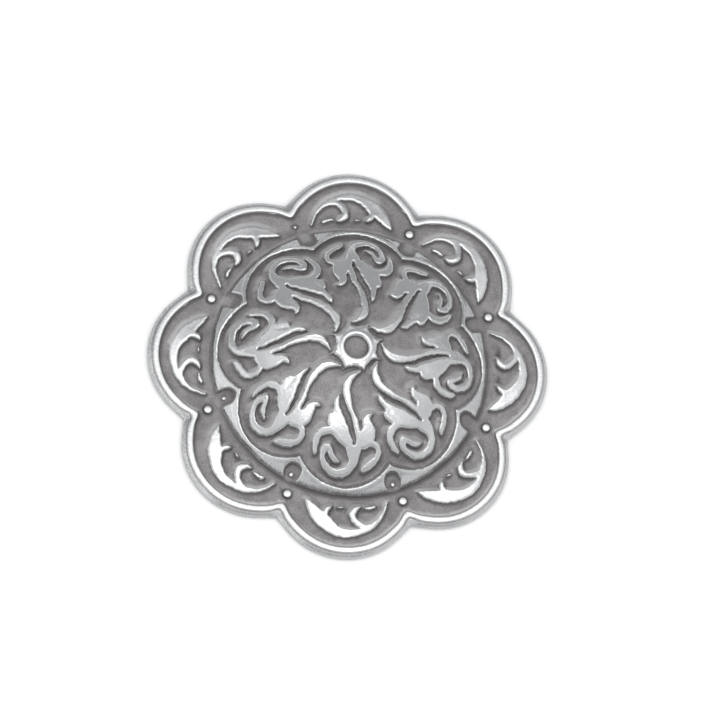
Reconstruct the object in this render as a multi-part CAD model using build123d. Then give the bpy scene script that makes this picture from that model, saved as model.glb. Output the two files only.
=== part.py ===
from build123d import *
import os
from math import acos, atan2, cos, hypot, radians, sin, sqrt

# A cast concho: a domed, hollow-backed plate with eight round lobes, a scalloped border ring,
# eight leaf scrolls inside the ring, a crescent leaf in each lobe, and a plain screw post behind.
# Millimetres. The underside of the rim lies on z = 0, +Z is the front, and a lobe points along +Y.

# Lobed plate
across = 38.1
lobes = 8
lobe_radius = 7.0
notch_flare = 0.2
brim_thickness = 0.8
rim_height = 1.1
rim_slope_width = 0.85
rim_crest_width = 0.13
rim_edge_low = 0.3
rim_edge_high = 0.5
rim_round_under = 0.3

# Dome, drawn along the tops of the relief
relief_height = 0.5
relief_root = 0.3
dome_height = 5.18
cap_radius = 22.1
cap_slope = 20.0
shoulder_radius = 11.6
side_slope = 37.0
foot_radius = 2.55
dome_wall = 1.3

# Border ring with its round bites and beads. Places count lobes clockwise from +Y.
ring_outer = 13.1
ring_crown = 12.55
ring_cusp = 11.0
ring_twist = 2.0
bite_radius = 0.8
bite_inset = 0.67
pearl_radius = 0.22
pearl_inset = 0.5
pearl_places = (3.5, 4.5, 5.5)
bead_radius = 0.43
small_bead_radius = 0.2
small_bead_place = 7.5
bead_gap = 1.2
bead_lift = 0.05

# Centre cup and its collar
cup_radius = 1.17
cup_depth = 0.85
lip_width = 0.34
lip_rise = 0.1
collar_tip = 2.35
collar_valley = 1.9
collar_twist = 3.0

# Screw post behind
post_radius = 3.0
post_clear_of_floor = 0.25
post_gap = 0.05
socket_wall = 1.2
socket_depth = 1.5
seat_thickness = 0.75
thread_radius = 1.73
thread_depth = 3.2
thread_chamfer = 0.25

# Strokes of one leaf scroll. Each row is across, out, half width, as shares of ring_crown.
scroll_strokes = {
    "spiral": [
        (-0.018, 0.705, 0.060), (-0.023, 0.753, 0.053), (-0.027, 0.801, 0.040), (-0.022, 0.845, 0.032),
        (0.004, 0.886, 0.029), (0.050, 0.907, 0.028), (0.100, 0.909, 0.025), (0.147, 0.891, 0.025),
        (0.186, 0.853, 0.023), (0.206, 0.809, 0.022), (0.204, 0.765, 0.026), (0.184, 0.741, 0.028),
    ],
    "spiral_hook": [
        (0.176, 0.735, 0.022), (0.157, 0.756, 0.020), (0.140, 0.793, 0.018), (0.113, 0.821, 0.016),
        (0.081, 0.836, 0.005),
    ],
    "small_curl": [
        (-0.104, 0.697, 0.027), (-0.152, 0.699, 0.022), (-0.193, 0.713, 0.022), (-0.215, 0.751, 0.022),
        (-0.204, 0.797, 0.024), (-0.171, 0.830, 0.025), (-0.129, 0.859, 0.024), (-0.105, 0.877, 0.017),
        (-0.097, 0.888, 0.007),
    ],
    "left_leaf": [
        (-0.086, 0.700, 0.045), (-0.118, 0.645, 0.062), (-0.120, 0.602, 0.045), (-0.107, 0.562, 0.037),
        (-0.104, 0.535, 0.027), (-0.118, 0.511, 0.017), (-0.140, 0.498, 0.005),
    ],
    "stem": [
        (-0.062, 0.685, 0.032), (-0.049, 0.645, 0.025), (-0.030, 0.598, 0.021), (-0.019, 0.558, 0.022),
        (0.000, 0.518, 0.018), (0.023, 0.474, 0.018), (0.039, 0.432, 0.023), (0.052, 0.386, 0.026),
        (0.059, 0.327, 0.029), (0.053, 0.277, 0.030), (0.033, 0.243, 0.025), (0.002, 0.214, 0.016),
        (-0.035, 0.193, 0.005),
    ],
    "right_leaf": [
        (0.028, 0.709, 0.033), (0.064, 0.657, 0.054), (0.100, 0.606, 0.064), (0.118, 0.554, 0.056),
        (0.120, 0.506, 0.035), (0.126, 0.466, 0.022), (0.127, 0.430, 0.019), (0.124, 0.402, 0.016),
        (0.118, 0.382, 0.006),
    ],
    "right_lobe": [
        (0.104, 0.629, 0.048), (0.137, 0.578, 0.046), (0.152, 0.546, 0.040), (0.160, 0.523, 0.026),
    ],
    "flap": [
        (0.120, 0.636, 0.030), (0.167, 0.626, 0.025), (0.209, 0.631, 0.029), (0.241, 0.652, 0.027),
        (0.260, 0.687, 0.024), (0.267, 0.729, 0.022), (0.266, 0.760, 0.018), (0.263, 0.777, 0.013),
    ],
}
scroll_slot = [(-0.019, 0.712, 0.010), (-0.017, 0.678, 0.012), (-0.003, 0.643, 0.016), (0.012, 0.600, 0.018)]

# Strokes of one crescent, measured from its lobe's centre as shares of lobe_radius.
crescent_strokes = {
    "hook": [
        (-0.564, 0.210, 0.008), (-0.543, 0.279, 0.014), (-0.506, 0.379, 0.019), (-0.454, 0.461, 0.026),
        (-0.379, 0.530, 0.037), (-0.293, 0.557, 0.039), (-0.207, 0.533, 0.040), (-0.136, 0.481, 0.042),
        (-0.099, 0.410, 0.046), (-0.118, 0.350, 0.044), (-0.160, 0.312, 0.030), (-0.205, 0.296, 0.012),
    ],
    "hook_tail": [(-0.275, 0.308, 0.010), (-0.335, 0.297, 0.017), (-0.400, 0.266, 0.017)],
    "body": [
        (-0.386, 0.543, 0.023), (-0.300, 0.593, 0.034), (-0.200, 0.631, 0.042), (-0.086, 0.653, 0.053),
        (0.021, 0.650, 0.060), (0.121, 0.619, 0.071), (0.214, 0.561, 0.084), (0.307, 0.481, 0.097),
        (0.386, 0.410, 0.080), (0.449, 0.333, 0.063), (0.500, 0.267, 0.037), (0.526, 0.219, 0.010),
    ],
    "foot": [(0.274, 0.450, 0.057), (0.257, 0.386, 0.038), (0.231, 0.339, 0.034), (0.189, 0.307, 0.010)],
    "bar": [(0.035, 0.316, 0.006), (0.060, 0.317, 0.009), (0.090, 0.316, 0.006)],
}

# Places that follow from the sizes above
pitch = 360 / lobes
notch_turn = radians(pitch / 2)
lobe_centre = across / 2 - lobe_radius
brim_top = brim_thickness + relief_height
dome_top = brim_top + dome_height
below = -1.0


def turned(radius, degrees):
    """A point at this radius, turned clockwise from +Y."""
    return (radius * sin(radians(degrees)), radius * cos(radians(degrees)))


def lobed_face(inset, height):
    """The plate's outline moved in by inset: an arc for each lobe, with a straight run into each notch."""
    notch_reach = lobe_centre * cos(notch_turn)
    notch_reach += sqrt((lobe_radius + notch_flare) ** 2 - (lobe_centre * sin(notch_turn)) ** 2)
    notch_x = notch_reach * sin(notch_turn)
    notch_y = notch_reach * cos(notch_turn)
    to_notch = atan2(notch_x, notch_y - lobe_centre)
    touch = to_notch - acos(lobe_radius / hypot(notch_x, notch_y - lobe_centre))
    arc_radius = lobe_radius - inset
    inner_notch = (arc_radius + lobe_centre * cos(touch)) / cos(touch - notch_turn)
    side = arc_radius * sin(touch)
    rise = lobe_centre + arc_radius * cos(touch)
    left = (-side, rise)
    right = (side, rise)
    crown = (0, lobe_centre + arc_radius)
    notch = turned(inner_notch, pitch / 2)
    last_notch = turned(inner_notch, -pitch / 2)
    one_lobe = [Line(last_notch, left), ThreePointArc(left, crown, right), Line(right, notch)]
    edges = [Rot(0, 0, -pitch * k) * edge for k in range(lobes) for edge in one_lobe]
    return Pos(0, 0, height) * make_face(edges)


def dome_points(drop):
    """Arc centres and joins of the surface of revolution that lies drop below the relief tops."""
    a = radians(cap_slope)
    b = radians(side_slope)
    straight = dome_height - cap_radius * (1 - cos(a)) - shoulder_radius * (cos(a) - cos(b))
    straight = (straight - foot_radius * (1 - cos(b))) / sin(b)
    cap_centre = Vector(0, dome_top - cap_radius)
    shoulder_centre = cap_centre + Vector(sin(a), cos(a)) * (cap_radius - shoulder_radius)
    side_start = shoulder_centre + Vector(sin(b), cos(b)) * shoulder_radius
    side_end = side_start + Vector(cos(b), -sin(b)) * straight
    foot_centre = side_end + Vector(sin(b), cos(b)) * foot_radius

    def on_arc(centre, radius, angle):
        return centre + Vector(sin(angle), cos(angle)) * radius

    return {
        "foot_centre": foot_centre,
        "apex": on_arc(cap_centre, cap_radius - drop, 0),
        "cap_middle": on_arc(cap_centre, cap_radius - drop, a / 2),
        "cap_end": on_arc(cap_centre, cap_radius - drop, a),
        "shoulder_middle": on_arc(shoulder_centre, shoulder_radius - drop, (a + b) / 2),
        "shoulder_end": on_arc(shoulder_centre, shoulder_radius - drop, b),
        "foot_start": on_arc(foot_centre, -foot_radius - drop, b),
        "foot_middle": on_arc(foot_centre, -foot_radius - drop, b / 2),
        "foot_end": on_arc(foot_centre, -foot_radius - drop, 0),
    }


def dome_solid(drop, reach):
    """Everything under the dome and brim surface that lies drop below the relief tops."""
    at = dome_points(drop)
    edges = [
        ThreePointArc(at["apex"], at["cap_middle"], at["cap_end"]),
        ThreePointArc(at["cap_end"], at["shoulder_middle"], at["shoulder_end"]),
        Line(at["shoulder_end"], at["foot_start"]),
        ThreePointArc(at["foot_start"], at["foot_middle"], at["foot_end"]),
    ]
    outer = at["foot_end"]
    if reach > outer.X:
        outer = Vector(reach, outer.Y)
        edges.append(Line(at["foot_end"], outer))
    corner = Vector(outer.X, below)
    edges += [Line(outer, corner), Line(corner, (0, below)), Line((0, below), at["apex"])]
    profile = Plane.XZ * make_face(edges)
    return revolve(profile, Axis.Z)


def foot_height(radius, drop):
    """Height of that surface at a radius on its foot arc."""
    centre = dome_points(drop)["foot_centre"]
    return centre.Y - sqrt((foot_radius + drop) ** 2 - (centre.X - radius) ** 2)


def ribbon(rows, unit, start):
    """A tapering stroke: two smooth sides through the rows and a round cap at each end."""
    middle = [Vector(u * unit, start + v * unit) for u, v, w in rows]
    halves = [w * unit for u, v, w in rows]
    headings = []
    for i in range(len(middle)):
        before = middle[max(i - 1, 0)]
        after = middle[min(i + 1, len(middle) - 1)]
        if 0 < i < len(middle) - 1:
            step_in = middle[i] - before
            step_out = after - middle[i]
            heading = step_in / step_in.length ** 2 + step_out / step_out.length ** 2
        else:
            heading = after - before
        headings.append(heading.normalized())
    normals = [Vector(-heading.Y, heading.X) for heading in headings]
    left = [point + normal * half for point, normal, half in zip(middle, normals, halves)]
    right = [point - normal * half for point, normal, half in zip(middle, normals, halves)]
    tail = middle[0] - headings[0] * halves[0]
    tip = middle[-1] + headings[-1] * halves[-1]
    edges = [
        Spline(*left),
        ThreePointArc(left[-1], tip, right[-1]),
        Spline(*reversed(right)),
        ThreePointArc(right[0], tail, left[0]),
    ]
    return make_face(edges)


def motif(strokes, unit, start):
    """The strokes of one motif, joined into one flat shape."""
    shape = Sketch()
    for rows in strokes.values():
        shape += ribbon(rows, unit, start)
    return shape


def around(shape, twist=0.0):
    """One copy of a shape for each lobe."""
    return [Rot(0, 0, -pitch * k - twist) * shape for k in range(lobes)]


def border_ring():
    """The ring's flat shape: a disc less the scalloped field and the round bites at its cusps."""
    cusps = [turned(ring_cusp, ring_twist + pitch * (k - 0.5)) for k in range(lobes)]
    crowns = [turned(ring_crown, ring_twist + pitch * k) for k in range(lobes)]
    arcs = [ThreePointArc(cusps[k], crowns[k], cusps[(k + 1) % lobes]) for k in range(lobes)]
    ring = Circle(ring_outer) - make_face(arcs)
    bite = Pos(*turned(ring_outer - bite_inset, ring_twist + pitch / 2)) * Circle(bite_radius)
    for shape in around(bite):
        ring -= shape
    return ring


def collar_star():
    """The collar's flat shape: a star with hollow sides."""
    tips = [turned(collar_tip, collar_twist + pitch * (k - 0.5)) for k in range(lobes)]
    valleys = [turned(collar_valley, collar_twist + pitch * k) for k in range(lobes)]
    sides = [ThreePointArc(tips[k], valleys[k], tips[(k + 1) % lobes]) for k in range(lobes)]
    return make_face(sides)


def relief(shape, layer):
    """A flat shape raised to the relief tops, with its root sunk in the plate."""
    return extrude(shape, amount=dome_top + 1) & layer


def plate():
    """The whole casting."""
    low = lobed_face(rim_round_under, 0)
    edge_low = lobed_face(0, rim_edge_low)
    edge_high = lobed_face(0, rim_edge_high)
    crest = lobed_face(rim_slope_width, rim_height)
    body = loft([low, edge_low], ruled=True)
    body += loft([edge_low, edge_high], ruled=True)
    body += loft([edge_high, crest], ruled=True)
    pocket = lobed_face(rim_slope_width + rim_crest_width, brim_thickness)
    body -= extrude(pocket, amount=rim_height)

    reach = across / 2
    base = extrude(lobed_face(rim_round_under, 0), amount=dome_top + 1)
    ground = dome_solid(relief_height, reach) & base
    body += ground
    layer = dome_solid(0, reach) - dome_solid(relief_height + relief_root, reach)

    scroll = motif(scroll_strokes, ring_crown, 0) - ribbon(scroll_slot, ring_crown, 0)
    crescent = motif(crescent_strokes, lobe_radius, lobe_centre)
    raised = relief(border_ring(), layer) + relief(collar_star(), layer)
    raised += around(relief(scroll, layer))
    raised += around(relief(crescent, layer))
    body += raised

    for k in range(lobes):
        place = k + 0.5
        size = small_bead_radius if place == small_bead_place else bead_radius
        bead_point = turned(ring_outer + bead_gap, pitch * place)
        body += Pos(*bead_point, brim_thickness + bead_lift) * Sphere(size)
    pearl_circle = ring_outer - pearl_inset
    for place in pearl_places:
        pearl_point = turned(pearl_circle, ring_twist + pitch * place)
        body += Pos(*pearl_point, foot_height(pearl_circle, relief_height)) * Sphere(pearl_radius)

    lip_middle = cup_radius + lip_width / 2
    lip_centre = dome_top + lip_rise - lip_width / 2
    body += Pos(0, 0, lip_centre) * Torus(lip_middle, lip_width / 2)
    cup_floor = dome_top - cup_depth
    body -= Pos(0, 0, cup_floor + dome_top / 2) * Cylinder(cup_radius, dome_top)

    body -= dome_solid(relief_height + dome_wall, 0)
    seat = cup_floor - seat_thickness
    socket_mouth = seat - socket_depth
    boss_radius = post_radius + post_gap + socket_wall
    body += Pos(0, 0, (socket_mouth + cup_floor) / 2) * Cylinder(boss_radius, cup_floor - socket_mouth)
    body -= Pos(0, 0, (socket_mouth + seat) / 2) * Cylinder(post_radius + post_gap, socket_depth)
    return body


def post():
    """The plain screw post, set in the socket behind the cup."""
    top = dome_top - cup_depth - seat_thickness - post_gap
    length = top - post_clear_of_floor
    shaft = Pos(0, 0, post_clear_of_floor + length / 2) * Cylinder(post_radius, length)
    shaft = chamfer(shaft.edges().filter_by(GeomType.CIRCLE), thread_chamfer)
    hole = Pos(0, 0, post_clear_of_floor + thread_depth / 2) * Cylinder(thread_radius, thread_depth)
    return shaft - hole


os.makedirs("parts", exist_ok=True)
for name, build in {"concho_plate": plate, "back_post": post}.items():
    export_step(build(), f"parts/{name}.step")
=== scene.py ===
from math import acos, atan2, cos, hypot, pi, radians, sin, sqrt, tan

import bpy
import numpy as np
from mathutils import Matrix, Vector
from mathutils.kdtree import KDTree


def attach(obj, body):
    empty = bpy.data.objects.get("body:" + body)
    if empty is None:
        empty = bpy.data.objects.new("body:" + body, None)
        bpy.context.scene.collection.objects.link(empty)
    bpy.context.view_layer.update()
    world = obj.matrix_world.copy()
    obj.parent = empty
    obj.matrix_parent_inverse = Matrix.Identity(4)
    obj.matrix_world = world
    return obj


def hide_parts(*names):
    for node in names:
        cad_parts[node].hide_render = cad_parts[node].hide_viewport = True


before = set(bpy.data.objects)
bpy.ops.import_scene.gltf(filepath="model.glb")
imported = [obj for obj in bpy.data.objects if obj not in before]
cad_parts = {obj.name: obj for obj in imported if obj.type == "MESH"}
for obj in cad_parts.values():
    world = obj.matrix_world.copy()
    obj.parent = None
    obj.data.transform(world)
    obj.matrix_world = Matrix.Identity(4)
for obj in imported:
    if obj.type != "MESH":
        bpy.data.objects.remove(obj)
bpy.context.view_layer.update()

# The cast concho, sculpted as one height field over the plate, with its patina, worn tops, and painted light
# and shade round its walls.
# Lengths are millimetres until a mesh is made. The rim's underside is z = 0, +Z the front, a lobe at +Y.
# Places round the plate count in lobes, clockwise from the lobe at +Y, so 0.5 is the first notch.

# Plate
across = 38.1
lobes = 8
lobe_radius = 7.0
notch_flare = 0.2
brim_thickness = 0.8
rim_round_under = 0.3

# Rim: where its slope starts, its groove, and the thick web that carries it round each notch
rim_foot = 1.1
rim_groove = 0.4
rim_groove_width = 0.07
web_inset = 0.42
web_width = 0.7
web_round = 0.6
web_softness = 0.4
web_fade = 0.7

# Dome
relief_height = 0.5
dome_height = 5.18
cap_radius = 22.1
cap_slope = radians(20)
shoulder_radius = 11.6
side_slope = radians(37)
foot_radius = 2.55
dome_wall = 1.3

# Border ring and its bites
ring_outer = 13.1
ring_crown = 12.55
ring_cusp = 11.0
ring_twist = radians(2)
ring_lip = 0.08
ring_lip_place = 0.24
ring_lip_spread = 0.23
ring_slope_foot = 13.3
ring_slope_width = 0.42
ring_slope_edge = 0.1
bite_radius = 0.8
bite_inset = 0.67
closed_bites = (3.5, 4.5)

# Pearls in the bites and beads in the notches
pearl_radius = 0.22
pearl_inset = 0.5
pearl_places = (3.5, 4.5, 5.5)
bead_radius = 0.43
small_bead_radius = 0.2
small_bead_place = 7.5
bead_gap = 1.2
bead_lift = 0.05
ball_tallness = 0.75
ball_flatness = 8

# Cup and collar
cup_radius = 1.17
cup_depth = 0.85
bowl_rise = 0.22
lip_width = 0.56
lip_rise = 0.07
lip_crest = 0.4
collar_tip = 2.35
collar_valley = 1.9
collar_twist = radians(3)
collar_trim = 0.1

# Socket behind
socket_radius = 3.05
socket_wall = 1.2
socket_depth = 1.5
seat_thickness = 0.75
seat_middle = 1.5

# Cast relief: how its walls, edges and tops are shaped
wall_slope = radians(80)
wall_foot_radius = 0.14
wall_top_radius = 0.06
bevel_radius = 0.38
bevel_turn = radians(50)
soft_foot = 0.44
soft_edge = 0.14
soft_round = 0.35
dish_depth = 0.02
dish_start = 0.12
dish_reach = 0.42
crescent_dish = 0.6 * dish_depth
crescent_crest = 2.9
crescent_fall = 0.17
crescent_least = 0.16
dash_foot = 0.1
dash_side = 0.12
fold_slope = 0.2

# Unevenness of the strokes' edges: how far they wander, over which cell, and the ring's share of it
warp_wide = 0.035
wide_cell = 1.3
warp_fine = 0.04
fine_cell = 0.4
warp_ragged = 0.034
ragged_cell = 0.19
ring_warp = 0.6

# Unevenness of the cast surface. Each row is strength, cell, seed.
ground_noise = [(0.012, 0.9, 3), (0.006, 0.35, 4)]
top_noise = [(0.009, 0.7, 5), (0.004, 0.3, 6)]
ring_foot_noise = [(0.03, 0.25, 7), (0.04, 0.9, 8)]

# Lit side: walls that face it are soft and pale with painted light; walls that face away, the balls and the
# brim get painted shade at their feet
lit_side_turn = radians(-20)
facing_passes = 8
metal_foot = 0.75
pale_start = 0.08
scroll_pale_reach = 0.45
crescent_pale_reach = 0.33
other_pale_reach = 0.15
shade_start = 0.1
shade_reach = 0.2
ball_shade = 0.8
brim_shade = 1.5
brim_start = 13.2
brim_fade = 0.4

# Wear of the single parts, with the painted light and shade on the ring's outer slope and the rim, and the
# width over which each kind fades
fold_wear = 1.2
ball_wear_width = 0.12
cup_wear = 0.1
cup_grime_start = 0.8
cup_grime_width = 0.4
slope_bare = 1.4
slope_shade = 0.5
slope_fade = 0.6
slope_shade_least = 0.02
slope_pale = 0.45
slope_pale_start = 12.2
slope_pale_start_width = 0.3
slope_pale_end = 13.7
slope_pale_end_width = 0.4
rim_wear_start = 1.14
rim_light_shift = 0.07
rim_wear_width = 0.1
groove_wear = 0.7
edge_dull_and_shade = 0.42
edge_dull_start = 0.42
edge_dull_width = 0.15
edge_dull_least = 0.25
rim_pits = 0.5
rim_pits_start = 0.75
rim_pits_width = 0.3

# Mesh
columns = 1440
grid_step = 0.05
rim_step = 0.04
round_reach = 13.2
brim_inset = 1.2
edge_inset = 0.002
under_shares = (0.1, 0.4, 0.7, 0.95)
hollow_rings = 60
triangle_goal = 190000
to_metres = 0.001
far_out = -9.0
tiny = 0.001

# Colours
field_dark = (0.145, 0.136, 0.138, 1)
field_light = (0.25, 0.238, 0.241, 1)
# The field's colour where painted light falls beside walls that face the light
field_lit = (0.47, 0.462, 0.464, 1)
# The colour of grime and of painted shade at the feet of walls
grime_and_shade_colour = (0.085, 0.079, 0.08, 1)
metal_dark = (0.48, 0.485, 0.487, 1)
metal_light = (0.575, 0.58, 0.582, 1)
post_dark = (0.46, 0.45, 0.43, 1)
post_light = (0.6, 0.59, 0.57, 1)
paper_colour = (0.9, 0.9, 0.9, 1)
backdrop_colour = (0.97, 0.98, 1.0, 1)

# Strokes of one leaf scroll. Each row is across, out, half width, as shares of ring_crown.
scroll_strokes = {
    "spiral": [
        (-0.018, 0.705, 0.060), (-0.023, 0.753, 0.053), (-0.027, 0.801, 0.040), (-0.022, 0.845, 0.032),
        (0.004, 0.886, 0.029), (0.050, 0.907, 0.028), (0.100, 0.909, 0.025), (0.147, 0.891, 0.025),
        (0.186, 0.853, 0.023), (0.206, 0.809, 0.022), (0.204, 0.765, 0.026), (0.184, 0.741, 0.028),
    ],
    "spiral_hook": [
        (0.176, 0.735, 0.022), (0.157, 0.756, 0.020), (0.140, 0.793, 0.018), (0.113, 0.821, 0.016),
        (0.081, 0.836, 0.005),
    ],
    "small_curl": [
        (-0.104, 0.697, 0.027), (-0.152, 0.699, 0.022), (-0.193, 0.713, 0.022), (-0.215, 0.751, 0.022),
        (-0.204, 0.797, 0.024), (-0.171, 0.830, 0.025), (-0.129, 0.859, 0.024), (-0.105, 0.877, 0.017),
        (-0.097, 0.888, 0.007),
    ],
    "left_leaf": [
        (-0.086, 0.700, 0.045), (-0.118, 0.645, 0.062), (-0.120, 0.602, 0.045), (-0.107, 0.562, 0.037),
        (-0.104, 0.535, 0.027), (-0.118, 0.511, 0.017), (-0.140, 0.498, 0.005),
    ],
    "stem": [
        (-0.062, 0.685, 0.032), (-0.049, 0.645, 0.025), (-0.030, 0.598, 0.021), (-0.019, 0.558, 0.022),
        (0.000, 0.518, 0.018), (0.023, 0.474, 0.018), (0.039, 0.432, 0.023), (0.052, 0.386, 0.026),
        (0.059, 0.327, 0.029), (0.053, 0.277, 0.030), (0.033, 0.243, 0.025), (0.002, 0.214, 0.016),
        (-0.035, 0.193, 0.005),
    ],
    "right_leaf": [
        (0.028, 0.709, 0.033), (0.064, 0.657, 0.054), (0.100, 0.606, 0.064), (0.118, 0.554, 0.056),
        (0.120, 0.506, 0.035), (0.126, 0.466, 0.022), (0.127, 0.430, 0.019), (0.124, 0.402, 0.016),
        (0.118, 0.382, 0.006),
    ],
    "right_lobe": [
        (0.104, 0.629, 0.048), (0.137, 0.578, 0.046), (0.152, 0.546, 0.040), (0.160, 0.523, 0.026),
    ],
    "flap": [
        (0.120, 0.636, 0.030), (0.167, 0.626, 0.025), (0.209, 0.631, 0.029), (0.241, 0.652, 0.027),
        (0.260, 0.687, 0.024), (0.267, 0.729, 0.022), (0.266, 0.760, 0.018), (0.263, 0.777, 0.013),
    ],
}
scroll_slot = [(-0.019, 0.712, 0.010), (-0.017, 0.678, 0.012), (-0.003, 0.643, 0.016), (0.012, 0.600, 0.018)]

# Creases cut into the scroll's leaves, in the same terms.
scroll_folds = {
    "right_fold": [
        (0.121, 0.600, 0.004), (0.131, 0.560, 0.012), (0.136, 0.520, 0.018), (0.139, 0.492, 0.012),
    ],
}

# Strokes of one crescent, measured from its lobe's centre as shares of lobe_radius.
crescent_strokes = {
    "hook": [
        (-0.564, 0.210, 0.008), (-0.543, 0.279, 0.014), (-0.506, 0.379, 0.019), (-0.454, 0.461, 0.026),
        (-0.379, 0.530, 0.037), (-0.293, 0.557, 0.039), (-0.207, 0.533, 0.040), (-0.136, 0.481, 0.042),
        (-0.099, 0.410, 0.046), (-0.118, 0.350, 0.044), (-0.160, 0.312, 0.030), (-0.205, 0.296, 0.012),
    ],
    "body": [
        (-0.386, 0.543, 0.023), (-0.300, 0.593, 0.034), (-0.200, 0.631, 0.042), (-0.086, 0.653, 0.053),
        (0.021, 0.650, 0.060), (0.121, 0.619, 0.071), (0.214, 0.561, 0.084), (0.307, 0.481, 0.097),
        (0.386, 0.410, 0.080), (0.449, 0.333, 0.063), (0.500, 0.267, 0.037), (0.526, 0.219, 0.010),
    ],
    "foot": [(0.274, 0.450, 0.057), (0.257, 0.386, 0.038), (0.231, 0.339, 0.034), (0.189, 0.307, 0.010)],
}
dash_strokes = {
    "hook_tail": [(-0.275, 0.308, 0.010), (-0.335, 0.297, 0.017), (-0.400, 0.266, 0.017)],
    "bar": [(0.035, 0.316, 0.006), (0.060, 0.317, 0.009), (0.090, 0.316, 0.006)],
}

# How fully the dashes stand up in each lobe, clockwise from +Y.
dash_strength = [0.55, 0.5, 0.1, 0.75, 0.9, 0.9, 0.6, 0.8]

# The rim's section, from the brim out to the edge and on round underneath: inset from the outline, height.
rim_section = [
    (1.17, 0.80), (1.12, 0.82), (1.09, 0.88), (1.07, 0.98), (1.03, 1.05), (0.98, 1.085), (0.90, 1.10),
    (0.75, 1.097), (0.60, 1.088), (0.52, 1.075), (0.47, 1.05), (0.44, 0.99), (0.42, 0.90), (0.39, 0.87),
    (0.34, 0.865), (0.29, 0.82), (0.22, 0.74), (0.12, 0.62), (0.04, 0.53), (0.00, 0.48),
]
under_section = [(0.00, 0.40), (0.00, 0.30), (0.03, 0.19), (0.10, 0.09), (0.19, 0.02), (0.30, 0.00)]

pitch = 2 * pi / lobes
half_pitch = pitch / 2
lobe_centre = across / 2 - lobe_radius
brim_top = brim_thickness + relief_height
dome_top = brim_top + dome_height
cup_floor = dome_top - cup_depth
seat = cup_floor - seat_thickness
rim_insets, rim_heights = np.array(rim_section[::-1]).T


def smooth(share):
    """Eases a share from 0 to 1."""
    share = np.clip(share, 0, 1)
    return share * share * (3 - 2 * share)


def value_noise(x, y, cell, seed):
    """Smooth random heights from -1 to 1 that change over about one cell."""
    size = 64
    lattice = np.random.default_rng(seed).uniform(-1, 1, (size, size))
    u = x / cell
    v = y / cell
    i = np.floor(u).astype(int)
    j = np.floor(v).astype(int)
    s = smooth(u - i)
    t = smooth(v - j)
    low = lattice[i % size, j % size] * (1 - s) + lattice[(i + 1) % size, j % size] * s
    high = lattice[i % size, (j + 1) % size] * (1 - s) + lattice[(i + 1) % size, (j + 1) % size] * s
    return low * (1 - t) + high * t


def uneven(x, y, rows, values):
    """The values with a table's noises added."""
    for strength, cell, seed in rows:
        values = values + strength * value_noise(x, y, cell, seed)
    return values


# Plate outline: the flank of each lobe runs straight from touch, the turn about the lobe's centre
notch_reach = lobe_centre * cos(half_pitch)
notch_reach += sqrt((lobe_radius + notch_flare) ** 2 - (lobe_centre * sin(half_pitch)) ** 2)
notch_side = notch_reach * sin(half_pitch)
notch_out = notch_reach * cos(half_pitch) - lobe_centre
touch = atan2(notch_side, notch_out) - acos(lobe_radius / hypot(notch_side, notch_out))


def fold(x, y, twist=0.0):
    """The place of each point in its own sector: across and out from the nearest lobe's line."""
    turn = np.arctan2(x, y) - twist
    turn = turn - np.round(turn / pitch) * pitch
    radius = np.hypot(x, y)
    return radius * np.sin(turn), radius * np.cos(turn)


def outline_radius(turn, inset):
    """Distance from the centre to the plate's outline moved in by inset."""
    turn = np.abs(turn - np.round(turn / pitch) * pitch)
    reach = lobe_radius - inset
    on_arc = lobe_centre * np.cos(turn) + np.sqrt(np.maximum(reach**2 - (lobe_centre * np.sin(turn)) ** 2, 0))
    on_line = (reach + lobe_centre * cos(touch)) / np.cos(touch - turn)
    switch = atan2(reach * sin(touch), lobe_centre + reach * cos(touch))
    return np.where(turn < switch, on_arc, on_line)


def outline_inset(x, y):
    """How far inside the plate's outline each point lies."""
    side, out = fold(x, y)
    side = np.abs(side)
    out = out - lobe_centre
    from_arc = lobe_radius - np.hypot(side, out)
    from_line = lobe_radius - (side * sin(touch) + out * cos(touch))
    return np.where(np.arctan2(side, out) < touch, from_arc, from_line)


def rim_inset(x, y):
    """The inset along which the rim's section runs: it swings round each notch in a thick web."""
    plain = outline_inset(x, y)
    side, out = fold(x, y)
    from_notch = np.abs(np.hypot(x, y) * np.sin(half_pitch - np.abs(np.arctan2(side, out))))
    softened = np.sqrt(from_notch**2 + web_round**2) - from_notch
    bulge = web_inset * np.exp(-((from_notch / web_width) ** 2)) - web_softness * softened
    return plain - smooth(plain / web_fade) * bulge


# Dome section: three arcs and a straight side, drawn along the tops of the relief
cap_fall = cap_radius * (1 - cos(cap_slope))
shoulder_fall = shoulder_radius * (cos(cap_slope) - cos(side_slope))
foot_fall = foot_radius * (1 - cos(side_slope))
straight = (dome_height - cap_fall - shoulder_fall - foot_fall) / sin(side_slope)
cap_centre = Vector((0, dome_top - cap_radius))
shoulder_centre = cap_centre + Vector((sin(cap_slope), cos(cap_slope))) * (cap_radius - shoulder_radius)
side_start = shoulder_centre + Vector((sin(side_slope), cos(side_slope))) * shoulder_radius
side_end = side_start + Vector((cos(side_slope), -sin(side_slope))) * straight
foot_centre = side_end + Vector((sin(side_slope), cos(side_slope))) * foot_radius


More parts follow.
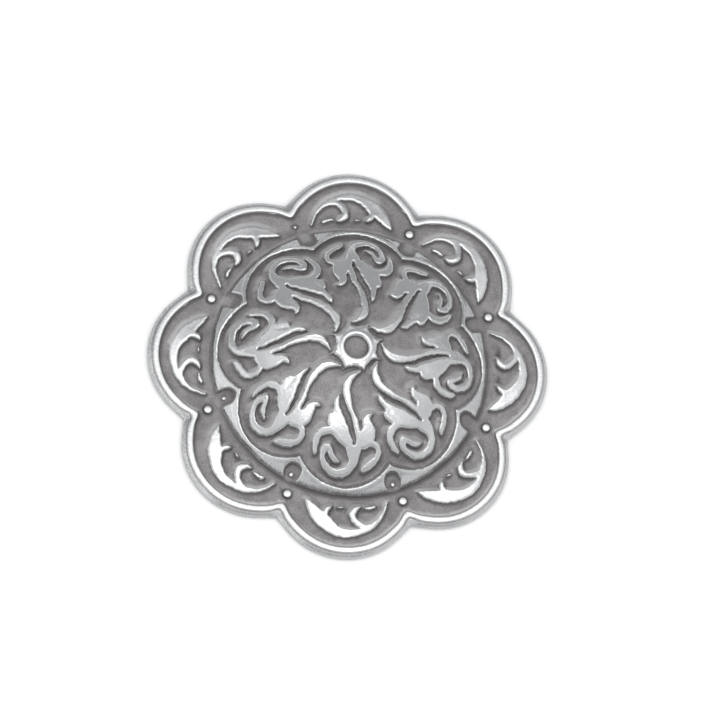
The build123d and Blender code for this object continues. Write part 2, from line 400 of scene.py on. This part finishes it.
def dome_surface(radius, drop):
    """Height of the dome and brim surface that lies drop below the relief tops."""
    cap = cap_centre.y + np.sqrt(np.maximum((cap_radius - drop) ** 2 - radius**2, 0))
    bend = (shoulder_radius - drop) ** 2 - (radius - shoulder_centre.x) ** 2
    shoulder = shoulder_centre.y + np.sqrt(np.maximum(bend, 0))
    side_from = shoulder_centre.x + (shoulder_radius - drop) * sin(side_slope)
    side_high = shoulder_centre.y + (shoulder_radius - drop) * cos(side_slope)
    side = side_high - (radius - side_from) * tan(side_slope)
    bend = (foot_radius + drop) ** 2 - (foot_centre.x - radius) ** 2
    foot = foot_centre.y - np.sqrt(np.maximum(bend, 0))
    height = np.where(radius < (cap_radius - drop) * sin(cap_slope), cap, shoulder)
    height = np.where(radius < side_from, height, side)
    height = np.where(radius < foot_centre.x - (foot_radius + drop) * sin(side_slope), height, foot)
    return np.where(radius > foot_centre.x, brim_top - drop, height)


# Strokes
def through(rows, parts=6):
    """Points along the smooth curve through the rows."""
    rows = np.array(rows)
    count = len(rows)
    at = np.concatenate([[0], np.cumsum(np.hypot(*np.diff(rows[:, :2], axis=0).T))])
    span = np.diff(at)
    system = np.eye(count)
    bend = np.zeros((count, rows.shape[1]))
    for i in range(1, count - 1):
        system[i, i - 1 : i + 2] = span[i - 1], 2 * (span[i - 1] + span[i]), span[i]
        bend[i] = 6 * ((rows[i + 1] - rows[i]) / span[i] - (rows[i] - rows[i - 1]) / span[i - 1])
    curve = np.linalg.solve(system, bend)
    points = []
    for i in range(count - 1):
        for share in np.arange(parts) / parts:
            a = share * span[i]
            b = span[i] - a
            cubic = (curve[i] * b**3 + curve[i + 1] * a**3) / (6 * span[i])
            cubic += (rows[i] / span[i] - curve[i] * span[i] / 6) * b
            cubic += (rows[i + 1] / span[i] - curve[i + 1] * span[i] / 6) * a
            points.append(cubic)
    points.append(rows[-1])
    return np.array(points)


def stroke_depth(side, out, rows, unit, start):
    """How far inside the stroke each point lies, negative outside it."""
    points = through(rows) * unit
    points[:, 1] += start
    depth = np.full(side.shape, far_out)
    reach = 0.9
    low = points[:, :2].min(axis=0) - reach
    high = points[:, :2].max(axis=0) + reach
    near = (side > low[0]) & (side < high[0]) & (out > low[1]) & (out < high[1])
    u = side[near]
    v = out[near]
    best = np.full(u.shape, far_out)
    for here, there in zip(points[:-1], points[1:]):
        run = there[:2] - here[:2]
        share = ((u - here[0]) * run[0] + (v - here[1]) * run[1]) / (run @ run)
        share = np.clip(share, 0, 1)
        half = here[2] + share * (there[2] - here[2])
        distance = np.hypot(u - here[0] - share * run[0], v - here[1] - share * run[1])
        best = np.maximum(best, half - distance)
    depth[near] = best
    return depth


def motif_depth(x, y, strokes, unit, start, slot=None):
    """How far inside the eight copies of a motif each point lies."""
    depth = np.full(x.shape, far_out)
    for k in range(lobes):
        turn = pitch * k
        side = x * cos(turn) - y * sin(turn)
        out = x * sin(turn) + y * cos(turn)
        copy = np.full(x.shape, far_out)
        for rows in strokes.values():
            copy = np.maximum(copy, stroke_depth(side, out, rows, unit, start))
        if slot:
            copy = np.minimum(copy, -stroke_depth(side, out, slot, unit, start))
        depth = np.maximum(depth, copy)
    return depth


def edge_depth(x, y, depth):
    """The same shape's depth, measured to its outline, so that crossing strokes leave no crease."""
    points = []
    for axis in (0, 1):
        rolled = np.roll(depth, -1, axis)
        crossing = (depth > 0) != (rolled > 0)
        if axis == 0:
            crossing[-1] = False
        share = depth / np.where(depth == rolled, 1, depth - rolled)
        px = x + share * (np.roll(x, -1, axis) - x)
        py = y + share * (np.roll(y, -1, axis) - y)
        points.append(np.stack([px[crossing], py[crossing]], axis=-1))
    points = np.concatenate(points)
    tree = KDTree(len(points))
    for i, (px, py) in enumerate(points):
        tree.insert((px, py, 0), i)
    tree.balance()
    reach = 1.2
    near = np.abs(depth) < reach
    found = np.array([tree.find((px, py, 0))[2] for px, py in zip(x[near], y[near])])
    result = depth.copy()
    result[near] = np.where(depth[near] > 0, found, -found)
    return result


def arc_circle(tip, valley):
    """Radius and centre distance of the arc from tip to tip through a valley half a pitch away."""
    side = tip * sin(half_pitch)
    out = tip * cos(half_pitch) - valley
    radius = (out**2 + side**2) / (2 * abs(out))
    centre = valley + radius if out > 0 else valley - radius
    return radius, centre


def ring_depth(x, y):
    """Depth inside the border ring's scalloped inner edge and bites, and the distance from that edge."""
    side, out = fold(x, y, ring_twist)
    radius, centre = arc_circle(ring_cusp, ring_crown)
    inner = np.where(out > centre, np.hypot(side, out - centre) - radius, far_out)
    beyond = np.abs(side) * sin(half_pitch) + out * cos(half_pitch) - (ring_outer - bite_inset)
    beside = np.abs(side) * cos(half_pitch) - out * sin(half_pitch)
    place = np.floor((np.arctan2(x, y) - ring_twist) / pitch) % lobes + 0.5
    beyond = np.where(np.isin(place, closed_bites), beyond, np.minimum(beyond, 0))
    bite = np.hypot(beside, beyond) - bite_radius
    return np.minimum(inner, bite), inner


def collar_depth(x, y):
    """Depth inside the star-shaped collar."""
    side, out = fold(x, y, collar_twist)
    radius, centre = arc_circle(collar_tip, collar_valley)
    return np.minimum(np.hypot(side, out - centre) - radius, collar_tip + collar_trim - np.hypot(x, y))


def shape_depths(x, y):
    """Depths inside the scrolls, folds, crescents, dashes, the ring, its scalloped edge and the collar."""
    u = x + warp_wide * value_noise(x, y, wide_cell, 11) + warp_fine * value_noise(x, y, fine_cell, 12)
    v = y + warp_wide * value_noise(x, y, wide_cell, 13) + warp_fine * value_noise(x, y, fine_cell, 14)
    u += warp_ragged * value_noise(x, y, ragged_cell, 15)
    v += warp_ragged * value_noise(x, y, ragged_cell, 16)
    scroll = edge_depth(x, y, motif_depth(u, v, scroll_strokes, ring_crown, 0, scroll_slot))
    folds = np.maximum(motif_depth(u, v, scroll_folds, ring_crown, 0), 0)
    crescent = edge_depth(x, y, motif_depth(u, v, crescent_strokes, lobe_radius, lobe_centre))
    dash = motif_depth(u, v, dash_strokes, lobe_radius, lobe_centre)
    ring, ring_inner = ring_depth(x + ring_warp * (u - x), y + ring_warp * (v - y))
    return scroll, folds, crescent, dash, ring, ring_inner, collar_depth(u, v)


# Walls of the relief
def faces_lit_side(x, y, depth):
    """How squarely the nearest wall faces the lit side, from 0 to 1."""

    def slopes(values):
        across_rings = np.gradient(values, axis=0)
        along_rings = (np.roll(values, -1, 1) - np.roll(values, 1, 1)) / 2
        return across_rings, along_rings

    depth_i, depth_j = slopes(depth)
    x_i, x_j = slopes(x)
    y_i, y_j = slopes(y)
    cell = x_i * y_j - x_j * y_i
    slope_x = (depth_i * y_j - depth_j * y_i) / cell
    slope_y = (depth_j * x_i - depth_i * x_j) / cell
    length = np.maximum(np.hypot(slope_x, slope_y), tiny)
    lit_facing = -(slope_x * sin(lit_side_turn) + slope_y * cos(lit_side_turn)) / length
    for _ in range(facing_passes):
        beside = np.roll(lit_facing, 1, 1) + np.roll(lit_facing, -1, 1)
        above = np.concatenate([lit_facing[:1], lit_facing[:-1]]) + np.concatenate([lit_facing[1:], lit_facing[-1:]])
        lit_facing = (2 * lit_facing + beside + above) / 6
    return smooth(0.5 + 0.5 * lit_facing)


def wall_profile():
    """The relief's side in section, as depth and share: filleted foot, steep run, round edge, slow bevel."""
    turn = np.linspace(0, wall_slope, 9)
    foot_depth = wall_foot_radius * np.sin(turn)
    foot_height = wall_foot_radius * (1 - np.cos(turn))

    turn = np.linspace(wall_slope, bevel_turn, 7)
    top_depth = wall_top_radius * (sin(wall_slope) - np.sin(turn))
    bevel_drop = bevel_radius * (1 - cos(bevel_turn))
    top_height = relief_height - bevel_drop - wall_top_radius * (cos(bevel_turn) - np.cos(turn))

    turn = np.linspace(bevel_turn, 0, 9)
    bevel_depth = top_depth[-1] + bevel_radius * (sin(bevel_turn) - np.sin(turn))
    bevel_height = relief_height - bevel_radius * (1 - np.cos(turn))

    run = (top_height[0] - foot_height[-1]) / tan(wall_slope)
    depths = np.concatenate([foot_depth - foot_depth[-1] - run, top_depth, bevel_depth[1:]])
    heights = np.concatenate([foot_height, top_height, bevel_height[1:]])
    return depths, heights / relief_height


wall_depths, wall_shares = wall_profile()


def cast_walls(x, y, depth):
    """The share of its height and of its bare metal that a shape reaches at each point.

    Walls that face the lit side are soft, and bare only near their tops, so the painted light beside them
    shows on their lower part. The others are steep and bare.
    """
    lit_facing = faces_lit_side(x, y, depth)
    steep = np.interp(depth, wall_depths, wall_shares)
    ramp = np.clip((depth + soft_foot) / (soft_foot + soft_edge), 0, 1)
    soft = ramp + soft_round * (smooth(ramp) - ramp)
    share = steep + lit_facing * (soft - steep)
    least = metal_foot * lit_facing
    return share, smooth((share - least) / (1 - least))


def dished(depth, most):
    """How far a shape's top is sunk at this depth inside its outline."""
    return most * smooth((depth - dish_start) / (dish_reach - dish_start))


def halo(depth, start, reach):
    """How strongly a halo of painted light and shade round a shape shows: in full as far out as start, then
    fading over reach.
    """
    return np.exp(-((np.maximum(-depth - start, 0) / reach) ** 2))


def ball(x, y, circle, turn, radius, centre_height):
    """Height of a small ball with a worn top on a circle, and how far inside its round each point lies."""
    distance = np.hypot(x - circle * sin(turn), y - circle * cos(turn))
    dome = np.sqrt(np.maximum(1 - (distance / radius) ** ball_flatness, 0))
    height = centre_height + ball_tallness * radius * dome
    return np.where(distance < radius, height, far_out), radius - distance


def balls(x, y):
    """Heights and depths of the beads in the notches and the pearls in the bites."""
    pearl_circle = ring_outer - pearl_inset
    pearl_height = float(dome_surface(np.array(pearl_circle), relief_height))
    found = []
    for place in np.arange(lobes) + 0.5:
        size = small_bead_radius if place == small_bead_place else bead_radius
        found.append(ball(x, y, ring_outer + bead_gap, pitch * place, size, brim_thickness + bead_lift))
    for place in pearl_places:
        found.append(ball(x, y, pearl_circle, pitch * place + ring_twist, pearl_radius, pearl_height))
    return found


def with_cup(radius, height):
    """The surface with the cup's lip laid on it and its bowl cut in."""
    from_crest = (radius - cup_radius) / lip_width - lip_crest
    bump = np.maximum(1 - (from_crest / (1 - lip_crest)) ** 2, 0) ** 2
    lip = dome_surface(radius, 0) + lip_rise * bump
    height = np.where(radius < cup_radius + lip_width, np.maximum(height, lip), height)
    bowl = cup_floor + bowl_rise * (radius / cup_radius) ** 2
    return np.where(radius < cup_radius, bowl, height)


def front(x, y):
    """The front surface: its height, bare metal with painted shade, grime with painted light and shade (below
    0 where painted light makes it pale), and pits with painted shade specks.
    """
    radius = np.hypot(x, y)
    scroll, folds, crescent, dash, ring, ring_inner, collar = shape_depths(x, y)
    # The half of the plate away from the light, which gets more painted shade.
    lower = smooth(0.5 - 0.5 * (x * sin(lit_side_turn) + y * cos(lit_side_turn)) / np.maximum(radius, tiny))
    ground = uneven(x, y, ground_noise, dome_surface(radius, relief_height))
    rise = uneven(x, y, top_noise, dome_surface(radius, 0) - ground)

    share, metal = cast_walls(x, y, scroll)
    height = np.maximum(ground, ground + share * rise - dished(scroll, dish_depth) - fold_slope * folds)
    wear_and_shade = np.maximum(0, metal - fold_wear * folds)

    side, out = fold(x, y)
    past_crest = np.maximum(np.hypot(side, out - lobe_centre) - crescent_crest, 0)
    top = np.clip(rise - crescent_fall * past_crest, crescent_least, rise)
    share, metal = cast_walls(x, y, crescent)
    height = np.maximum(height, ground + share * top - dished(crescent, crescent_dish))
    wear_and_shade = np.maximum(wear_and_shade, metal)

    nearest_lobe = np.round(np.arctan2(x, y) / pitch).astype(int) % lobes
    share = smooth((dash + dash_foot) / dash_side) * np.array(dash_strength)[nearest_lobe]
    height = np.maximum(height, ground + share * rise)
    wear_and_shade = np.maximum(wear_and_shade, smooth(2 * share))

    slope_foot = ring_slope_foot + uneven(x, y, ring_foot_noise, 0)
    ramp = smooth((slope_foot - radius) / ring_slope_width)
    # On the shaded half the ring's outer slope is painted duller and speckled dark: painted shade.
    shaded_slope = lower * smooth((radius - ring_crown) / slope_fade)
    lip = ring_lip * np.exp(-(((ring_inner - ring_lip_place) / ring_lip_spread) ** 2)) - ring_lip
    share, metal = cast_walls(x, y, ring)
    height = np.maximum(height, ground + share * ramp * (rise + lip))
    wear_and_shade = np.maximum(wear_and_shade, metal * np.minimum(slope_bare * ramp, 1) * (1 - slope_shade * shaded_slope))
    pits_and_shade = np.where(share * ramp > slope_shade_least, shaded_slope, 0)

    share, metal = cast_walls(x, y, collar)
    height = np.maximum(height, ground + share * rise)
    wear_and_shade = np.maximum(wear_and_shade, metal)

    in_ball = np.full(x.shape, far_out)
    for ball_height, ball_depth in balls(x, y):
        height = np.maximum(height, ball_height)
        wear_and_shade = np.maximum(wear_and_shade, smooth(ball_depth / ball_wear_width))
        in_ball = np.maximum(in_ball, ball_depth)
    height = with_cup(radius, height)

    inset = rim_inset(x, y)
    on_rim = inset < rim_insets[-1]
    groove = np.exp(-(((inset - rim_groove) / rim_groove_width) ** 2))
    ring = np.minimum(ring, slope_foot - ring_slope_edge - radius)
    anywhere = np.maximum.reduce([scroll, crescent, dash, ring, collar, rim_foot - inset])
    lit_facing = faces_lit_side(x, y, anywhere)
    height = np.where(on_rim, np.interp(inset, rim_insets, rim_heights), height)
    # The rim's bare metal starts a little higher on walls facing the light, so painted light shows there.
    rim_wear_and_light = smooth((rim_wear_start - rim_light_shift * lit_facing - inset) / rim_wear_width)
    wear_and_shade = np.where(on_rim, rim_wear_and_light - groove_wear * groove, wear_and_shade)
    # The rim's outer edge is dull all round, and duller on the shaded half: a painted shade.
    outer_edge = smooth((edge_dull_start - inset) / edge_dull_width)
    outer_edge = outer_edge * (edge_dull_least + (1 - edge_dull_least) * lower)
    wear_and_shade = wear_and_shade - edge_dull_and_shade * outer_edge
    pits_and_shade = np.where(inset < rim_foot, rim_pits * smooth((rim_pits_start - inset) / rim_pits_width), pits_and_shade)

    # Painted light: the field is pale beside walls that face the light, and on the lit half of the ring's
    # outer slope.
    pale = halo(np.maximum(collar, rim_foot - inset), pale_start, other_pale_reach)
    pale = np.maximum(pale, halo(scroll, pale_start, scroll_pale_reach))
    pale = np.maximum(pale, halo(crescent, pale_start, crescent_pale_reach))
    pale = pale * lit_facing**2
    upper_slope = slope_pale * (1 - lower) * smooth((radius - slope_pale_start) / slope_pale_start_width)
    pale = np.maximum(pale, upper_slope * smooth((slope_pale_end - radius) / slope_pale_end_width))
    # Painted shade: dark beside walls that face away from the light, round the balls, and stronger on the
    # brim. The rim's groove is patina.
    grime_shade_and_light = (1 - lit_facing) * halo(anywhere, shade_start, shade_reach)
    grime_shade_and_light = np.maximum(grime_shade_and_light, ball_shade * halo(in_ball, 0, shade_reach))
    grime_shade_and_light = grime_shade_and_light * (1 + (brim_shade - 1) * smooth((radius - brim_start) / brim_fade))
    grime_shade_and_light = np.maximum(grime_shade_and_light, groove) - pale

    in_cup = radius < cup_radius
    grime_shade_and_light = np.where(in_cup, smooth((radius - cup_grime_start) / cup_grime_width), grime_shade_and_light)
    wear_and_shade = np.where(in_cup, cup_wear, wear_and_shade)
    return height, wear_and_shade, grime_shade_and_light, pits_and_shade


# Meshes
def mesh_object(name, points, quads, triangles):
    """A smooth-shaded object from arrays of points, four-sided and three-sided faces."""
    mesh = bpy.data.meshes.new(name)
    mesh.vertices.add(len(points))
    mesh.vertices.foreach_set("co", points.astype(np.float32).ravel())
    corners = np.concatenate([quads.ravel(), triangles.ravel()])
    starts = np.concatenate([np.arange(len(quads)) * 4, len(quads) * 4 + np.arange(len(triangles)) * 3])
    mesh.loops.add(len(corners))
    mesh.loops.foreach_set("vertex_index", corners.astype(np.int32))
    mesh.polygons.add(len(starts))
    mesh.polygons.foreach_set("loop_start", starts.astype(np.int32))
    mesh.update(calc_edges=True)
    mesh.validate()
    piece = bpy.data.objects.new(name, mesh)
    bpy.context.scene.collection.objects.link(piece)
    return piece


def closed_rings(rings, middle_first, middle_last):
    """Points and faces of a skin that runs ring by ring from one middle point to the other."""
    points = np.concatenate([np.concatenate(rings), [middle_first, middle_last]])
    here = np.arange(columns)
    after = (here + 1) % columns
    start = np.arange(len(rings) - 1)[:, None] * columns
    quads = np.stack([start + here, start + after, start + columns + after, start + columns + here], axis=-1)
    first = len(rings) * columns
    last_ring = first - columns
    fan_first = np.stack([np.full(columns, first), after, here], axis=-1)
    fan_last = np.stack([np.full(columns, first + 1), last_ring + here, last_ring + after], axis=-1)
    return points, quads.reshape(-1, 4), np.concatenate([fan_first, fan_last])


def front_radii(turns):
    """How far out the front is sampled, ring by ring: round on the dome, along the outline at the rim."""
    radii = [np.full(columns, radius) for radius in np.arange(grid_step, round_reach, grid_step)]
    brim_radius = outline_radius(turns, brim_inset)
    steps = int(round((brim_radius.max() - round_reach) / grid_step))
    for share in np.arange(steps) / steps:
        radii.append(round_reach + share * (brim_radius - round_reach))
    for inset in np.arange(brim_inset, tiny, -rim_step):
        radii.append(outline_radius(turns, inset))
    radii.append(outline_radius(turns, edge_inset))
    return np.array(radii)


def back_rings(turns):
    """The skin behind: rounded edge, flat underside, the dome's hollow, and the socket as a turned boss."""

    def ring_at(radius, level):
        radius = np.broadcast_to(radius, turns.shape)
        return np.stack([radius * np.sin(turns), radius * np.cos(turns), np.full(columns, level)], axis=-1)

    rings = []
    for inset, level in under_section:
        rings.append(ring_at(outline_radius(turns, max(inset, edge_inset)), level))
    drop = relief_height + dome_wall
    mouth = foot_centre.x - sqrt((foot_radius + drop) ** 2 - foot_centre.y**2)
    under_radius = outline_radius(turns, rim_round_under)
    for share in under_shares:
        rings.append(ring_at(under_radius + share * (mouth - under_radius), 0.0))
    boss_radius = socket_radius + socket_wall
    for radius in np.linspace(mouth, boss_radius + 0.1, hollow_rings):
        rings.append(ring_at(radius, float(dome_surface(np.array(radius), drop))))
    hollow_top = float(dome_surface(np.array(boss_radius), drop))
    socket_mouth = seat - socket_depth
    boss_section = [
        (boss_radius, hollow_top - 0.08),
        (boss_radius, socket_mouth + 0.12),
        (boss_radius - 0.04, socket_mouth + 0.03),
        (boss_radius - 0.13, socket_mouth),
        (socket_radius + 0.1, socket_mouth),
        (socket_radius + 0.02, socket_mouth + 0.02),
        (socket_radius, socket_mouth + 0.1),
        (socket_radius, seat - 0.05),
        (socket_radius - 0.05, seat),
        (seat_middle, seat),
    ]
    for radius, level in boss_section:
        rings.append(ring_at(radius, level))
    return rings


def build_casting():
    """The casting as one closed skin, with its wear, grime, pits, and painted light and shade stored on the
    points.
    """
    turns = (np.arange(columns) - columns / lobes / 2) * 2 * pi / columns
    radii = front_radii(turns)
    x = radii * np.sin(turns)
    y = radii * np.cos(turns)
    height, wear_and_shade, grime_shade_and_light, pits_and_shade = front(x, y)
    rings = list(np.stack([x, y, height], axis=-1)) + back_rings(turns)
    points, quads, triangles = closed_rings(rings, (0, 0, cup_floor), (0, 0, seat))
    piece = mesh_object("concho_casting", points * to_metres, quads, triangles)
    # The points carry wear with painted shade, grime with painted light and shade, and pits with painted
    # shade specks.
    for name, values, behind in (("wear_and_shade", wear_and_shade, 0.35), ("grime_shade_and_light", grime_shade_and_light, 0.3), ("pits_and_shade", pits_and_shade, 0.2)):
        layer = piece.data.attributes.new(name, "FLOAT", "POINT")
        fill = np.full(len(points), behind)
        fill[: values.size] = values.ravel()
        layer.data.foreach_set("value", fill.astype(np.float32))
    return piece


def reduce_triangles(piece, goal):
    """Collapses edges until the piece has about this many triangles, and keeps the fine mesh's shading."""
    triangles = sum(len(face.vertices) - 2 for face in piece.data.polygons)
    count = len(piece.data.vertices)
    normals = np.empty(count * 3, np.float32)
    piece.data.vertex_normals.foreach_get("vector", normals)
    normals = normals.reshape(-1, 3)
    tree = KDTree(count)
    for i, vertex in enumerate(piece.data.vertices):
        tree.insert(vertex.co, i)
    tree.balance()
    modifier = piece.modifiers.new("reduce", "DECIMATE")
    modifier.ratio = goal / triangles
    view = bpy.context.evaluated_depsgraph_get()
    lighter = bpy.data.meshes.new_from_object(piece.evaluated_get(view))
    piece.modifiers.clear()
    heavy = piece.data
    piece.data = lighter
    bpy.data.meshes.remove(heavy)
    piece.data.shade_smooth()
    least_distance = 0.00001
    kept = []
    for vertex in piece.data.vertices:
        found = tree.find_n(vertex.co, 3)
        share = np.array([1 / (distance + least_distance) for place, i, distance in found])
        kept.append(share @ normals[[i for place, i, distance in found]])
    kept = np.array(kept)
    piece.data.normals_split_custom_set_from_vertices(kept / np.linalg.norm(kept, axis=1, keepdims=True))


# Materials
class Nodes:
    """Short names for the nodes that the materials share."""

    def __init__(self, tree):
        self.nodes = tree.nodes
        self.links = tree.links

    def put(self, socket, value):
        if isinstance(value, bpy.types.NodeSocket):
            self.links.new(value, socket)
        else:
            socket.default_value = value

    def attribute(self, name):
        node = self.nodes.new("ShaderNodeAttribute")
        node.attribute_name = name
        return node.outputs["Fac"]

    def place(self):
        return self.nodes.new("ShaderNodeTexCoord").outputs["Object"]

    def split(self, place):
        node = self.nodes.new("ShaderNodeSeparateXYZ")
        self.links.new(place, node.inputs[0])
        return node.outputs

    def noise(self, place, size, detail):
        node = self.nodes.new("ShaderNodeTexNoise")
        self.links.new(place, node.inputs["Vector"])
        node.inputs["Scale"].default_value = 1 / to_metres / size
        node.inputs["Detail"].default_value = detail
        node.inputs["Roughness"].default_value = 0.55
        return node.outputs["Fac"]

    def math(self, operation, a, b=0.0, c=0.0):
        node = self.nodes.new("ShaderNodeMath")
        node.operation = operation
        self.put(node.inputs[0], a)
        self.put(node.inputs[1], b)
        self.put(node.inputs[2], c)
        return node.outputs[0]

    def ease(self, value, low, high, to_low=0.0, to_high=1.0):
        node = self.nodes.new("ShaderNodeMapRange")
        node.interpolation_type = "SMOOTHSTEP"
        self.put(node.inputs["Value"], value)
        node.inputs["From Min"].default_value = low
        node.inputs["From Max"].default_value = high
        node.inputs["To Min"].default_value = to_low
        node.inputs["To Max"].default_value = to_high
        return node.outputs["Result"]

    # The mix node has its numbers at inputs 2 and 3 and output 0, its colours at inputs 6 and 7 and output 2.
    def blend(self, share, a, b):
        node = self.nodes.new("ShaderNodeMix")
        node.data_type = "RGBA"
        self.put(node.inputs[0], share)
        self.put(node.inputs[6], a)
        self.put(node.inputs[7], b)
        return node.outputs[2]

    def blend_value(self, share, a, b):
        node = self.nodes.new("ShaderNodeMix")
        self.put(node.inputs[0], share)
        self.put(node.inputs[2], a)
        self.put(node.inputs[3], b)
        return node.outputs[0]

    def bump(self, height, distance):
        node = self.nodes.new("ShaderNodeBump")
        node.inputs["Distance"].default_value = distance
        self.links.new(height, node.inputs["Height"])
        return node.outputs["Normal"]


def new_material(name):
    """A node material with a kit for its nodes, and its shader."""
    material = bpy.data.materials.new(name)
    material.use_nodes = True
    return material, Nodes(material.node_tree), material.node_tree.nodes["Principled BSDF"]


def casting_material():
    """Antiqued cast metal: bright worn tops, purplish grey field, dark grime and painted shade at the feet of
    the walls, and painted light beside the walls that face the light.
    """
    material, kit, shader = new_material("antiqued_casting")
    place = kit.place()
    grain = kit.noise(place, 0.25, 4)
    speck = kit.noise(place, 0.11, 2)
    mottle = kit.noise(place, 1.6, 3)
    wear_and_shade = kit.attribute("wear_and_shade")
    grime_shade_and_light = kit.attribute("grime_shade_and_light")
    pits_and_shade = kit.attribute("pits_and_shade")

    # Bare metal from wear, less of it where painted shade falls.
    uneven_wear_and_shade = kit.math("MULTIPLY_ADD", grain, 0.35, wear_and_shade)
    bright = kit.ease(uneven_wear_and_shade, 0.35, 0.8)
    # Dark specks: cast pits, and painted shade on the shaded half of the ring's outer slope.
    pits_and_shade_specks = kit.math("MULTIPLY", kit.ease(speck, 0.46, 0.6), kit.math("MULTIPLY_ADD", pits_and_shade, 0.9, 0.08))
    bright = kit.math("MULTIPLY", bright, kit.math("SUBTRACT", 1.0, pits_and_shade_specks))
    # Grime and painted shade darken the field.
    dirt_and_shade = kit.math("MULTIPLY_ADD", grain, 0.3, grime_shade_and_light)
    dirt_and_shade = kit.ease(dirt_and_shade, 0.15, 1.55)

    cloud = kit.math("ADD", kit.math("MULTIPLY", mottle, 0.45), kit.math("MULTIPLY", speck, 0.55))
    cloud = kit.ease(cloud, 0.38, 0.62)
    field = kit.blend(cloud, field_dark, field_light)
    # Painted light makes the field pale beside walls that face the light.
    pale = kit.ease(kit.math("MULTIPLY", grime_shade_and_light, -1.0), 0.0, 1.0)
    field = kit.blend(pale, field, field_lit)
    dull = kit.blend(dirt_and_shade, field, grime_and_shade_colour)
    metal = kit.blend(mottle, metal_dark, metal_light)
    kit.put(shader.inputs["Base Color"], kit.blend(bright, dull, metal))
    kit.put(shader.inputs["Metallic"], kit.blend_value(bright, 0.4, 1.0))
    gloss = kit.ease(grain, 0.3, 0.7, 0.15, 0.27)
    kit.put(shader.inputs["Roughness"], kit.blend_value(bright, 0.5, gloss))
    kit.put(shader.inputs["Normal"], kit.bump(grain, 0.00001))
    return material


def post_material():
    """Turned steel with fine rings round its axis."""
    material, kit, shader = new_material("post_metal")
    place = kit.place()
    x, y, z = kit.split(place)
    squares = kit.math("ADD", kit.math("POWER", x, 2.0), kit.math("POWER", y, 2.0))
    along = kit.math("ADD", kit.math("SQRT", squares), z)
    rings = kit.math("SINE", kit.math("MULTIPLY", along, 60000.0))
    cloud = kit.noise(place, 0.8, 3)
    kit.put(shader.inputs["Base Color"], kit.blend(cloud, post_dark, post_light))
    kit.put(shader.inputs["Metallic"], 1.0)
    kit.put(shader.inputs["Roughness"], kit.ease(cloud, 0.3, 0.7, 0.28, 0.42))
    kit.put(shader.inputs["Normal"], kit.bump(rings, 0.000004))
    return material


def floor_material():
    """Plain pale studio paper."""
    material, kit, shader = new_material("floor_paper")
    kit.put(shader.inputs["Base Color"], paper_colour)
    kit.put(shader.inputs["Roughness"], 0.9)
    return material


# Camera, floor and lights
def tilt_to(direction):
    """The smallest turn that takes +Z to a direction."""
    return Vector((0, 0, 1)).rotation_difference(direction).to_matrix()


def place_camera():
    """The photograph's view: from a little under 20 degrees off the plate's axis, towards its lower side."""
    tilt = radians(19.31)
    swing = radians(65.27)
    roll = radians(-2.7)
    facing = Vector((cos(swing) * sin(tilt), sin(swing) * sin(tilt), cos(tilt)))
    to_camera = tilt_to(facing) @ Matrix.Rotation(roll, 3, "Z")
    axes = to_camera.transposed()
    centre = Vector((0, 0, 0.0005))
    from_centre = Vector((0.00113, 0.000468, 0.6791))
    camera = bpy.data.cameras.new("camera")
    camera.lens = 359.7
    camera.sensor_width = 36
    camera.clip_start = 0.01
    view = bpy.data.objects.new("camera", camera)
    view.location = centre + axes @ from_centre
    view.rotation_euler = axes.to_euler()
    bpy.context.scene.collection.objects.link(view)
    bpy.context.scene.camera = view


def softbox(name, width, height, place, aim, power):
    """A rectangular studio light at a place, turned to its aim."""
    light = bpy.data.lights.new(name, "AREA")
    light.shape = "RECTANGLE"
    light.size = width
    light.size_y = height
    light.energy = power
    lamp = bpy.data.objects.new(name, light)
    lamp.location = place
    lamp.rotation_euler = (Vector(aim) - Vector(place)).to_track_quat("-Z", "Y").to_euler()
    bpy.context.scene.collection.objects.link(lamp)


def build_floor():
    """A pale plane under the concho."""
    size = 1.5
    points = np.array([(-size, -size, 0), (size, -size, 0), (size, size, 0), (-size, size, 0)], float)
    floor = mesh_object("floor", points, np.array([[0, 1, 2, 3]]), np.zeros((0, 3), int))
    floor.data.materials.append(floor_material())


def light_studio():
    """Soft light that is brightest overhead, wide to the sides and front, and dimmer behind."""
    softbox("overhead", 0.8, 0.68, (0.0, -0.04, 0.9), (0, -0.04, 0), 2.05)
    softbox("canopy", 1.5, 1.05, (-0.02, -0.06, 0.82), (-0.02, -0.06, 0), 1.24)
    softbox("ceiling", 5.2, 2.7, (0.0, -0.73, 0.8), (0, -0.73, 0), 17.0)
    softbox("left", 2.6, 0.8, (-1.6, -0.8, 0.41), (0, -0.8, 0.41), 4.5)
    softbox("right", 2.6, 0.8, (1.6, -0.8, 0.41), (0, -0.8, 0.41), 2.0)
    world = bpy.data.worlds.new("room")
    world.use_nodes = True
    backdrop = world.node_tree.nodes["Background"]
    backdrop.inputs["Color"].default_value = backdrop_colour
    backdrop.inputs["Strength"].default_value = 0.6
    bpy.context.scene.world = world
    bpy.context.scene.view_settings.view_transform = "Standard"


casting = build_casting()
reduce_triangles(casting, triangle_goal)
casting.data.materials.append(casting_material())
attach(casting, "root")
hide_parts("concho_plate")

back_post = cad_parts["back_post"]
back_post.material_slots[0].material = post_material()

build_floor()
light_studio()
place_camera()
